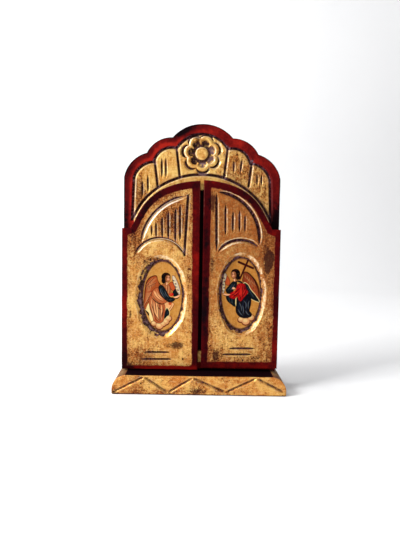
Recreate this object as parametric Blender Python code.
"""A small hinged triptych altarpiece in carved, painted and gilded wood.

A scalloped back board stands in a groove across a plinth. Two arch-topped
doors close over its icon niche, each on two brass butt hinges. The front
faces -Y, +Z is up and the origin is under the middle of the plinth.
Sizes below are in millimetres and become metres when a mesh is made.
"""
import math

import bmesh
import bpy
from mathutils import Vector
from mathutils.geometry import delaunay_2d_cdt

MM = 0.001
CLEARANCE = 0.3

# Plinth
BASE_HALF_WIDTH = 86.0
BASE_HEIGHT = 18.8
BASE_DEPTH = 55.0
BASE_FLAT_HALF_WIDTH = 71.5
BASE_SHOULDER_DROP = 14.0
BASE_FOOT_ROUNDING = 1.5
BASE_FRONT_Y = -BASE_DEPTH / 2
BASE_BACK_Y = BASE_DEPTH / 2

# Doors and back board, front to back
HALF_WIDTH = 79.25
DOOR_FRONT_Y = BASE_FRONT_Y + 17.0
DOOR_THICKNESS = 9.2
DOOR_BACK_Y = DOOR_FRONT_Y + DOOR_THICKNESS
BOARD_FRONT_Y = DOOR_BACK_Y + 0.8
BOARD_THICKNESS = 14.0
BOARD_BACK_Y = BOARD_FRONT_Y + BOARD_THICKNESS
HOUSING_DEPTH = 4.0
BOARD_FOOT_Z = BASE_HEIGHT - HOUSING_DEPTH + CLEARANCE

# Door outline: a flattened arch that ends in a small shoulder
DOOR_CROWN_Z = 211.2
CROWN_RADIUS = 95.0
HAUNCH_RADIUS = 55.0
CROWN_ANGLE = math.radians(19.7)
HAUNCH_ANGLE = math.radians(62.0)
SHOULDER_Z = 163.4
DOOR_HALF_GAP = 1.75
LEFT_DOOR_FOOT_Z = 20.0
RIGHT_DOOR_FOOT_Z = 22.2
LEFT_DOOR_LIFT = -0.4
RIGHT_DOOR_LIFT = 0.4

# Scalloped head of the back board: centre x, centre z and radius of the lobes
MIDDLE_LOBE = (0.0, 228.1, 40.6)
INNER_LOBE = (30.9, 226.5, 28.5)
OUTER_LOBE = (48.3, 208.8, 31.5)
BORDER_WIDTH = 10.4

# Carving shared by several faces
GROOVE_WIDTH = 3.0
GROOVE_DEPTH = 2.0
GOUGE_WIDTH = 2.6
GOUGE_DEPTH = 1.6
ARCH_GROOVE_OFFSET = 7.0

# Rosette in the middle lobe
ROSETTE_CENTRE = (-1.0, 239.3)
ROSETTE_PETALS = 7
ROSETTE_FIRST_PETAL = math.radians(18.0)
PETAL_RADIUS = 18.0
PETAL_NOTCH_RADIUS = 15.0
BUTTON_RADIUS = 6.3
HOLLOW_DEPTH = 2.8

# Icon niche behind the doors
NICHE_OFFSET = -8.3
NICHE_HALF_WIDTH = 60.0
NICHE_FLOOR_Z = 36.8
NICHE_DEPTH = 6.5

# Recessed oval medallions: centre x, centre z, half width, half height
LEFT_OVAL = ((-38.7, 95.6, 25.5, 42.1), (-38.3, 94.6, 20.2, 36.0))
RIGHT_OVAL = ((42.7, 98.2, 23.7, 42.4), (42.2, 98.6, 19.1, 36.6))
OVAL_DEPTH = 3.2
OVAL_STEPS = 40

# Hinges
HINGE_X = HALF_WIDTH + 0.25
HINGE_Y = (DOOR_BACK_Y + BOARD_FRONT_Y) / 2
HINGE_HEIGHTS = {"top": 142.0, "bottom": 46.0}
KNUCKLE_RADIUS = 1.4
KNUCKLE_BORE = 0.75
PIN_RADIUS = 0.45
LEAF_HEIGHT = 18.0
LEAF_WIDTH = 9.5
LEAF_THICKNESS = 0.6
MIDDLE_KNUCKLE_HEIGHT = 6.0


# ---------------------------------------------------------------- materials

def paint(name, colour, roughness, metallic=0.0):
    material = bpy.data.materials.new(name)
    material.use_nodes = True
    shader = material.node_tree.nodes["Principled BSDF"]
    shader.inputs["Base Color"].default_value = (*colour, 1.0)
    shader.inputs["Roughness"].default_value = roughness
    shader.inputs["Metallic"].default_value = metallic
    return material


# ------------------------------------------------------------ plane geometry

def arc(centre, radius_x, radius_z, start, end, steps):
    """Points on an elliptical arc; angles count from +x towards +z."""
    points = []
    for step in range(steps + 1):
        angle = start + (end - start) * step / steps
        x = centre[0] + radius_x * math.cos(angle)
        z = centre[1] + radius_z * math.sin(angle)
        points.append((x, z))
    return points


def door_arch(offset, stop_x=None, stop_z=None, steps=7):
    """Right half of the door's arch moved outwards by offset, crown first."""
    crown = (0.0, DOOR_CROWN_Z - CROWN_RADIUS)
    reach = CROWN_RADIUS - HAUNCH_RADIUS
    haunch = (reach * math.sin(CROWN_ANGLE), crown[1] + reach * math.cos(CROWN_ANGLE))
    top = math.pi / 2
    crown_radius = CROWN_RADIUS + offset
    haunch_radius = HAUNCH_RADIUS + offset
    points = arc(crown, crown_radius, crown_radius, top, top - CROWN_ANGLE, steps)
    points += arc(haunch, haunch_radius, haunch_radius, top - CROWN_ANGLE, top - HAUNCH_ANGLE, steps)[1:]
    x, z = points[-1]
    if stop_x is not None:
        run = (stop_x - x) / math.cos(HAUNCH_ANGLE)
    else:
        run = (z - stop_z) / math.sin(HAUNCH_ANGLE)
    points.append((x + run * math.cos(HAUNCH_ANGLE), z - run * math.sin(HAUNCH_ANGLE)))
    return points


def circles_meet(first, second):
    """The crossing of two circles (x, z, radius) that lies further out."""
    gap = Vector((second[0] - first[0], second[1] - first[1]))
    along = (gap.length_squared + first[2] ** 2 - second[2] ** 2) / (2 * gap.length)
    across = math.sqrt(first[2] ** 2 - along ** 2)
    way = gap.normalized()
    outwards = Vector((-way.y, way.x))
    point = Vector(first[:2]) + way * along + outwards * across
    return point.x, point.y


def scalloped_half(inset, steps=7):
    """Right half of the board's head, from the top down to its straight side."""
    lobes = [(x, z, radius - inset) for x, z, radius in (MIDDLE_LOBE, INNER_LOBE, OUTER_LOBE)]
    side = HALF_WIDTH - inset
    last = lobes[-1]
    end = (side, last[1] + math.sqrt(last[2] ** 2 - (side - last[0]) ** 2))
    stops = [(0.0, lobes[0][1] + lobes[0][2]), circles_meet(lobes[0], lobes[1]), circles_meet(lobes[1], last), end]
    points = []
    for lobe, start, stop in zip(lobes, stops, stops[1:]):
        first = math.atan2(start[1] - lobe[1], start[0] - lobe[0])
        second = math.atan2(stop[1] - lobe[1], stop[0] - lobe[0])
        points += arc(lobe, lobe[2], lobe[2], first, second, steps)[:-1]
    return points + [end]


def mirrored(points):
    return [(-x, z) for x, z in points]


def both_halves(right_half):
    """A path from the left end over the middle to the right end."""
    return mirrored(right_half)[:0:-1] + right_half


# ------------------------------------------------------------------- carving
# A cut offers guide lines for the face's triangles and its depth at a point.

class Groove:
    """A V-groove along a path; run_out tapers its ends over that length."""

    def __init__(self, path, width=GROOVE_WIDTH, depth=GROOVE_DEPTH, run_out=0.0):
        self.path = [Vector(point) for point in path]
        self.half = width / 2
        self.deep = depth
        self.run_out = run_out
        self.reach = [0.0]
        for start, end in zip(self.path, self.path[1:]):
            self.reach.append(self.reach[-1] + (end - start).length)
        if run_out:
            self.add_point_near(run_out)
            self.add_point_near(self.reach[-1] - run_out)

    def add_point_near(self, distance):
        for index in range(len(self.path) - 1):
            low, high = self.reach[index], self.reach[index + 1]
            if low + 0.01 < distance < high - 0.01:
                share = (distance - low) / (high - low)
                self.path.insert(index + 1, self.path[index].lerp(self.path[index + 1], share))
                self.reach.insert(index + 1, distance)
                return

    def strength(self, distance):
        if not self.run_out:
            return 1.0
        edge = min(distance, self.reach[-1] - distance)
        return max(0.0, min(1.0, edge / self.run_out))

    def guides(self):
        left, right = [], []
        for index, point in enumerate(self.path):
            before = self.path[max(index - 1, 0)]
            after = self.path[min(index + 1, len(self.path) - 1)]
            way = (after - before).normalized()
            side = Vector((-way.y, way.x)) * self.half * self.strength(self.reach[index])
            left.append(point + side)
            right.append(point - side)
        ends = [] if self.run_out else [[left[0], self.path[0], right[0]], [left[-1], self.path[-1], right[-1]]]
        return [left, self.path, right] + ends

    def depth(self, point):
        deepest = 0.0
        for index in range(len(self.path) - 1):
            start, end = self.path[index], self.path[index + 1]
            line = end - start
            share = max(0.0, min(1.0, (point - start).dot(line) / line.length_squared))
            away = (point - start.lerp(end, share)).length
            strength = self.strength(self.reach[index] + share * line.length)
            if strength > 0.0:
                fall = 1.0 - away / (self.half * strength)
                deepest = max(deepest, self.deep * strength * fall)
        return deepest


class Bowl:
    """A recess with a flat floor and a scooped rim between two ovals."""

    rings = (0.0, 0.35, 0.7, 1.0)

    def __init__(self, ovals, depth=OVAL_DEPTH):
        self.outer, self.inner = ovals
        self.deep = depth

    def guides(self):
        lines = []
        for share in self.rings:
            oval = [a + (b - a) * share for a, b in zip(self.outer, self.inner)]
            ring = arc(oval[:2], oval[2], oval[3], 0.0, math.tau, OVAL_STEPS)
            ring[-1] = ring[0]
            lines.append([Vector(point) for point in ring])
        return lines

    def spread(self, point, oval):
        return math.hypot((point.x - oval[0]) / oval[2], (point.y - oval[1]) / oval[3])

    def depth(self, point):
        outside = 1.0 - self.spread(point, self.outer)
        if outside <= 0.0:
            return 0.0
        inside = max(0.0, self.spread(point, self.inner) - 1.0)
        share = outside / (outside + inside)
        return self.deep * math.sin(share * math.pi / 2)


class Rosette:
    """A seven-petalled flower: rimmed hollow petals round a raised button."""

    around = 8 * ROSETTE_PETALS

    def __init__(self, centre):
        self.centre = Vector(centre)

    def petal_edge(self, angle):
        swing = abs(math.cos((angle - ROSETTE_FIRST_PETAL) * ROSETTE_PETALS / 2))
        return PETAL_NOTCH_RADIUS + (PETAL_RADIUS - PETAL_NOTCH_RADIUS) * swing ** 0.8

    def rings(self, angle):
        """Radius and depth of each ring, outwards, along one direction."""
        edge = self.petal_edge(angle)
        swing = abs(math.cos((angle - ROSETTE_FIRST_PETAL) * ROSETTE_PETALS / 2))
        hollow = HOLLOW_DEPTH * (0.35 + 0.65 * swing)
        return [
            (BUTTON_RADIUS - 1.0, -0.4),
            (BUTTON_RADIUS, 0.2),
            (BUTTON_RADIUS + 0.9, HOLLOW_DEPTH),
            (edge - 7.0, hollow),
            (edge - 4.0, 0.3),
            (edge - 2.0, -0.3),
            (edge, 0.3),
            (edge + 1.0, 2.2),
            (edge + 3.2, 0.0),
        ]

    def guides(self):
        spokes = []
        for step in range(self.around):
            angle = ROSETTE_FIRST_PETAL + math.tau * step / self.around
            way = Vector((math.cos(angle), math.sin(angle)))
            spokes.append([self.centre + way * radius for radius, _ in self.rings(angle)])
        lines = []
        for ring in zip(*spokes):
            lines.append(list(ring) + [ring[0]])
        return lines + spokes

    def depth(self, point):
        arm = point - self.centre
        rings = self.rings(math.atan2(arm.y, arm.x))
        if arm.length <= rings[0][0]:
            return rings[0][1]
        for (near, high), (far, low) in zip(rings, rings[1:]):
            if arm.length <= far:
                return high + (low - high) * (arm.length - near) / (far - near)
        return 0.0


def cut_depth(point, carving):
    """Depth of the deepest cut at a point, or the height of raised carving."""
    depths = [cut.depth(point) for cut in carving]
    deepest = max(depths, default=0.0)
    highest = min(depths, default=0.0)
    return deepest if deepest > 0.02 else highest if highest < -0.02 else 0.0


# ------------------------------------------------------------ solid builders

def finish_mesh(name, work, material):
    """Turn a bmesh in millimetres into an object in metres."""
    bmesh.ops.recalc_face_normals(work, faces=work.faces)
    bmesh.ops.scale(work, vec=(MM, MM, MM), verts=work.verts)
    mesh = bpy.data.meshes.new(name)
    work.to_mesh(mesh)
    work.free()
    obj = bpy.data.objects.new(name, mesh)
    bpy.context.scene.collection.objects.link(obj)
    if material:
        mesh.materials.append(material)
    return obj


def carved_slab(name, outline, carving, front_y, back_y, material):
    """A slab with the outline (x, z) given, its front face cut by the carving."""
    points = [Vector(point) for point in outline]
    count = len(points)
    lines = []
    for cut in carving:
        for guide in cut.guides():
            first = len(points)
            points += guide
            lines += [(first + step, first + step + 1) for step in range(len(guide) - 1)]
    border = list(range(count))
    flat, _, triangles, *_ = delaunay_2d_cdt(points, lines, [border], 1, 0.01)
    work = bmesh.new()
    face_verts = [work.verts.new((p.x, front_y + cut_depth(p, carving), p.y)) for p in flat]
    for triangle in triangles:
        work.faces.new([face_verts[index] for index in triangle])
    rim = [edge for edge in work.edges if len(edge.link_faces) == 1]
    grown = bmesh.ops.extrude_edge_only(work, edges=rim)["geom"]
    back_verts = [item for item in grown if isinstance(item, bmesh.types.BMVert)]
    for vert in back_verts:
        vert.co.y = back_y
    back_edges = [edge for edge in work.edges if len(edge.link_faces) == 1]
    bmesh.ops.contextual_create(work, geom=back_edges)
    loose = [vert for vert in work.verts if not vert.link_faces]
    bmesh.ops.delete(work, geom=loose, context="VERTS")
    return finish_mesh(name, work, material)


def prism_y(name, outline, front_y, back_y, material=None):
    """An uncarved slab, also used for cutters."""
    return carved_slab(name, outline, [], front_y, back_y, material)


def prism_z(name, outline, low_z, high_z, material=None):
    """Extrude an outline (x, y) upwards."""
    work = bmesh.new()
    floor = work.faces.new([work.verts.new((x, y, low_z)) for x, y in outline])
    grown = bmesh.ops.extrude_face_region(work, geom=[floor])["geom"]
    for item in grown:
        if isinstance(item, bmesh.types.BMVert):
            item.co.z = high_z
    return finish_mesh(name, work, material)


def turned_z(name, centre, profile, material=None, steps=20):
    """Turn a profile of (radius, z) about an upright axis through centre."""
    work = bmesh.new()
    rings = []
    for radius, z in profile:
        ring = arc(centre, radius, radius, 0.0, math.tau, steps)[:-1]
        rings.append([work.verts.new((x, y, z)) for x, y in ring])
    for low, high in zip(rings, rings[1:]):
        for step in range(steps):
            after = (step + 1) % steps
            work.faces.new([low[step], low[after], high[after], high[step]])
    work.faces.new(rings[0])
    work.faces.new(rings[-1])
    return finish_mesh(name, work, material)


def box_outline(x0, x1, y0, y1):
    return [(x0, y0), (x1, y0), (x1, y1), (x0, y1)]


def cut_away(target, cutter):
    """Subtract a cutter, which stays in the scene as a hidden guide."""
    cutter.hide_render = True
    cutter.display_type = "WIRE"
    modifier = target.modifiers.new(cutter.name, "BOOLEAN")
    modifier.operation = "DIFFERENCE"
    modifier.solver = "EXACT"
    modifier.object = cutter


def smooth_round(obj, angle=30.0):
    obj.data.shade_smooth()
    obj.data.set_sharp_from_angle(angle=math.radians(angle))


# -------------------------------------------------------------------- plinth

def base_outline():
    """Trapezoid seen from the front, with rounded shoulders."""
    shoulder = (BASE_FLAT_HALF_WIDTH, BASE_HEIGHT - BASE_SHOULDER_DROP)
    width = BASE_HALF_WIDTH - BASE_FLAT_HALF_WIDTH
    right = arc(shoulder, width, BASE_SHOULDER_DROP, math.pi / 2, 0.0, 8)
    foot = (BASE_HALF_WIDTH - BASE_FOOT_ROUNDING, BASE_FOOT_ROUNDING)
    right += arc(foot, BASE_FOOT_ROUNDING, BASE_FOOT_ROUNDING, 0.0, -math.pi / 2, 3)
    return right + mirrored(right)[::-1]


def zigzag_grooves():
    turns = [(-83.9, 2.3), (-54.1, 17.6), (-30.4, 2.3), (-6.1, 17.2), (26.5, 3.2), (56.5, 17.8), (83.4, 4.2)]
    return [Groove(leg, width=3.4, depth=1.8, run_out=3.0) for leg in zip(turns, turns[1:])]


def build_base(gilt):
    base = carved_slab("base", base_outline(), zigzag_grooves(), BASE_FRONT_Y, BASE_BACK_Y, gilt)
    housing = box_outline(
        -HALF_WIDTH - CLEARANCE,
        HALF_WIDTH + CLEARANCE,
        BOARD_FRONT_Y - CLEARANCE,
        BOARD_BACK_Y + CLEARANCE,
    )
    cut_away(base, prism_z("cutter_housing", housing, BASE_HEIGHT - HOUSING_DEPTH, BASE_HEIGHT + 5.0))
    return base


# ---------------------------------------------------------------- back board

def board_outline():
    right = scalloped_half(0.0) + [(HALF_WIDTH, BOARD_FOOT_Z)]
    return right + mirrored(right[1:])[::-1]


def board_carving():
    """Scalloped field, sunray dividers, paired gouges and the rosette."""
    field = scalloped_half(BORDER_WIDTH)
    arch = door_arch(ARCH_GROOVE_OFFSET, stop_x=HALF_WIDTH - BORDER_WIDTH)
    side = [field[-1], arch[-1]]
    cuts = [
        Groove(both_halves(field)),
        Groove(both_halves(arch), depth=2.4),
        Groove(side),
        Groove(mirrored(side)),
        Rosette(ROSETTE_CENTRE),
    ]
    dividers = [
        ((-26.0, 244.8), (-22.5, 215.2)),
        ((-48.0, 231.4), (-44.8, 205.9)),
        ((25.6, 245.8), (22.4, 216.3)),
        ((50.4, 232.2), (47.4, 207.2)),
    ]
    cuts += [Groove(line, width=2.6) for line in dividers]
    gouges = [
        ((-41.0, 235.0), (-40.6, 214.3)),
        ((-36.9, 235.2), (-36.6, 214.3)),
        ((-54.9, 218.0), (-54.7, 199.0)),
        ((-60.5, 212.0), (-60.3, 195.0)),
        ((31.8, 233.4), (32.0, 219.5)),
        ((40.2, 235.4), (38.5, 219.6)),
        ((55.6, 221.0), (56.0, 207.0)),
        ((60.0, 220.4), (60.3, 207.0)),
    ]
    cuts += [Groove(line, GOUGE_WIDTH, GOUGE_DEPTH, run_out=4.0) for line in gouges]
    return cuts


def niche_outline():
    right = door_arch(NICHE_OFFSET, stop_x=NICHE_HALF_WIDTH) + [(NICHE_HALF_WIDTH, NICHE_FLOOR_Z)]
    return right + mirrored(right[1:])[::-1]


def build_back_board(red):
    board = carved_slab("back_board", board_outline(), board_carving(), BOARD_FRONT_Y, BOARD_BACK_Y, red)
    niche = prism_y("cutter_niche", niche_outline(), BOARD_FRONT_Y - 5.0, BOARD_FRONT_Y + NICHE_DEPTH)
    cut_away(board, niche)
    return board


# --------------------------------------------------------------------- doors

def door_outline(side, foot_z, lift):
    """One door's outline; side is -1 for the left door and 1 for the right."""
    arch = [point for point in door_arch(0.0, stop_z=SHOULDER_Z) if point[0] > DOOR_HALF_GAP]
    crown = DOOR_CROWN_Z - CROWN_RADIUS + math.sqrt(CROWN_RADIUS ** 2 - DOOR_HALF_GAP ** 2)
    points = [(DOOR_HALF_GAP, crown)] + arch + [(HALF_WIDTH, SHOULDER_Z)]
    points = [(x, z + lift) for x, z in points]
    points += [(HALF_WIDTH, foot_z), (DOOR_HALF_GAP, foot_z)]
    return [(side * x, z) for x, z in points]


def left_door_carving():
    """Quarter arch with upright gouges over an oval medallion."""
    quarter = arc((-7.2, 143.0), 52.8, 52.8, math.radians(97.0), math.radians(174.5), 12)
    hood = arc((-40.8, 126.1), 27.1, 27.1, math.radians(26.0), math.radians(154.0), 12)
    cuts = [
        Bowl(LEFT_OVAL),
        Groove(quarter),
        Groove(hood, width=2.6),
        Groove(((-13.5, 195.4), (-16.4, 138.0)), width=2.6),
    ]
    uprights = [
        ((-50.0, 168.5), (-49.6, 155.0)),
        ((-39.7, 175.5), (-39.6, 157.5)),
        ((-33.3, 179.5), (-33.2, 156.0)),
        ((-26.4, 182.5), (-26.2, 153.0)),
        ((-20.6, 185.5), (-20.4, 156.0)),
    ]
    level = [((-57.0, 37.4), (-29.5, 37.6)), ((-60.5, 30.1), (-27.5, 30.4))]
    cuts += [Groove(line, GOUGE_WIDTH, GOUGE_DEPTH, run_out=5.0) for line in uprights + level]
    return cuts


def right_door_carving():
    """The left door's carving repeated by hand, with its own spacing."""
    quarter = arc((12.0, 154.0), 46.2, 46.2, math.radians(86.0), math.radians(0.0), 12)
    hood = arc((39.9, 125.0), 27.5, 27.5, math.radians(147.0), math.radians(48.0), 12)
    cuts = [
        Bowl(RIGHT_OVAL),
        Groove(quarter),
        Groove(hood, width=2.6),
        Groove(((14.6, 200.0), (15.8, 140.8)), width=2.6),
    ]
    uprights = [
        ((23.8, 188.0), (24.2, 157.5)),
        ((31.3, 186.0), (31.6, 160.0)),
        ((37.8, 183.5), (38.2, 160.5)),
        ((43.3, 179.5), (43.7, 160.5)),
        ((49.3, 172.0), (49.6, 159.0)),
    ]
    level = [((29.0, 42.6), (56.8, 42.9)), ((22.0, 36.2), (54.0, 36.6))]
    cuts += [Groove(line, GOUGE_WIDTH, GOUGE_DEPTH, run_out=5.0) for line in uprights + level]
    return cuts


def build_doors(gilt):
    left = carved_slab(
        "left_door",
        door_outline(-1, LEFT_DOOR_FOOT_Z, LEFT_DOOR_LIFT),
        left_door_carving(),
        DOOR_FRONT_Y,
        DOOR_BACK_Y,
        gilt,
    )
    right = carved_slab(
        "right_door",
        door_outline(1, RIGHT_DOOR_FOOT_Z, RIGHT_DOOR_LIFT),
        right_door_carving(),
        DOOR_FRONT_Y,
        DOOR_BACK_Y,
        gilt,
    )
    return {"left": left, "right": right}


# -------------------------------------------------------------------- hinges

def leaf_outline(side, facing):
    """Plan of a hinge leaf wrapped round its knuckle.

    side is the sign of x; facing is 1 for the board's leaf and -1 for the
    door's, on either side of the joint's plane.
    """
    inner = KNUCKLE_RADIUS - LEAF_THICKNESS
    start = math.pi / 2
    end = math.tau + math.asin(inner / KNUCKLE_RADIUS)
    outline = arc((0.0, 0.0), KNUCKLE_RADIUS, KNUCKLE_RADIUS, start, end, 20)
    outline += [(LEAF_WIDTH, inner), (LEAF_WIDTH, KNUCKLE_RADIUS)]
    return [(side * (HINGE_X - x), HINGE_Y + facing * y) for x, y in outline]


def knuckle_plan(side, y0, y1):
    """Plan of the space round a knuckle, between two depths."""
    reach = KNUCKLE_RADIUS + CLEARANCE
    x0, x1 = side * (HINGE_X - reach), side * (HINGE_X + reach)
    return box_outline(min(x0, x1), max(x0, x1), min(y0, y1), max(y0, y1))


def build_hinge(label, side, middle_z, brass):
    """Two leaves and a pin; the door's leaf has the middle knuckle."""
    low, high = middle_z - LEAF_HEIGHT / 2, middle_z + LEAF_HEIGHT / 2
    half_knuckle = MIDDLE_KNUCKLE_HEIGHT / 2
    axis = (side * HINGE_X, HINGE_Y)
    bore_profile = [(KNUCKLE_BORE, low - 2.0), (KNUCKLE_BORE, high + 2.0)]

    reach = KNUCKLE_RADIUS + CLEARANCE
    plan = knuckle_plan(side, HINGE_Y - reach, HINGE_Y + reach)

    board_leaf = prism_z(f"hinge_{label}_board_leaf", leaf_outline(side, 1), low, high, brass)
    gap = half_knuckle + CLEARANCE / 2
    cut_away(board_leaf, prism_z(f"cutter_{label}_gap", plan, middle_z - gap, middle_z + gap))
    cut_away(board_leaf, turned_z(f"cutter_{label}_board_bore", axis, bore_profile))

    door_leaf = prism_z(f"hinge_{label}_door_leaf", leaf_outline(side, -1), low, high, brass)
    gap = half_knuckle - CLEARANCE / 2
    cut_away(door_leaf, prism_z(f"cutter_{label}_lower_gap", plan, low - 2.0, middle_z - gap))
    cut_away(door_leaf, prism_z(f"cutter_{label}_upper_gap", plan, middle_z + gap, high + 2.0))
    cut_away(door_leaf, turned_z(f"cutter_{label}_door_bore", axis, bore_profile))

    head = [(PIN_RADIUS, high + CLEARANCE), (1.1, high + CLEARANCE), (1.1, high + 0.9), (0.6, high + 1.3)]
    foot = [(0.6, low - 1.3), (1.1, low - 0.9), (1.1, low - CLEARANCE), (PIN_RADIUS, low - CLEARANCE)]
    pin = turned_z(f"hinge_{label}_pin", axis, foot + head, brass)
    for piece in (board_leaf, door_leaf, pin):
        smooth_round(piece)


def cut_mortise(target, label, side, facing, middle_z):
    """Let one leaf and its knuckle into a door or the board."""
    half = LEAF_HEIGHT / 2 + CLEARANCE
    floor = HINGE_Y + facing * (KNUCKLE_RADIUS + CLEARANCE)
    x0 = side * (HINGE_X - LEAF_WIDTH - CLEARANCE)
    x1 = side * (HINGE_X + 3.0)
    plan = box_outline(min(x0, x1), max(x0, x1), min(HINGE_Y, floor), max(HINGE_Y, floor))
    low, high = middle_z - half, middle_z + half
    cut_away(target, prism_z(f"cutter_{label}", plan, low, high))
    ends = knuckle_plan(side, HINGE_Y, floor)
    cut_away(target, prism_z(f"cutter_{label}_ends", ends, low - 1.6, high + 1.6))


def build_hinges(board, doors, brass):
    for side_name, side in (("left", -1), ("right", 1)):
        for level, middle_z in HINGE_HEIGHTS.items():
            label = f"{side_name}_{level}"
            build_hinge(label, side, middle_z, brass)
            cut_mortise(board, f"{label}_board_mortise", side, 1, middle_z)
            cut_mortise(doors[side_name], f"{label}_door_mortise", side, -1, middle_z)


def main():
    for obj in list(bpy.data.objects):
        bpy.data.objects.remove(obj, do_unlink=True)
    red = paint("red_paint", (0.17, 0.012, 0.012), 0.55)
    gilt = paint("gilt_wood", (0.55, 0.31, 0.09), 0.4, 0.5)
    brass = paint("hinge_brass", (0.45, 0.30, 0.10), 0.35, 1.0)
    build_base(gilt)
    board = build_back_board(red)
    doors = build_doors(gilt)
    build_hinges(board, doors, brass)


main()
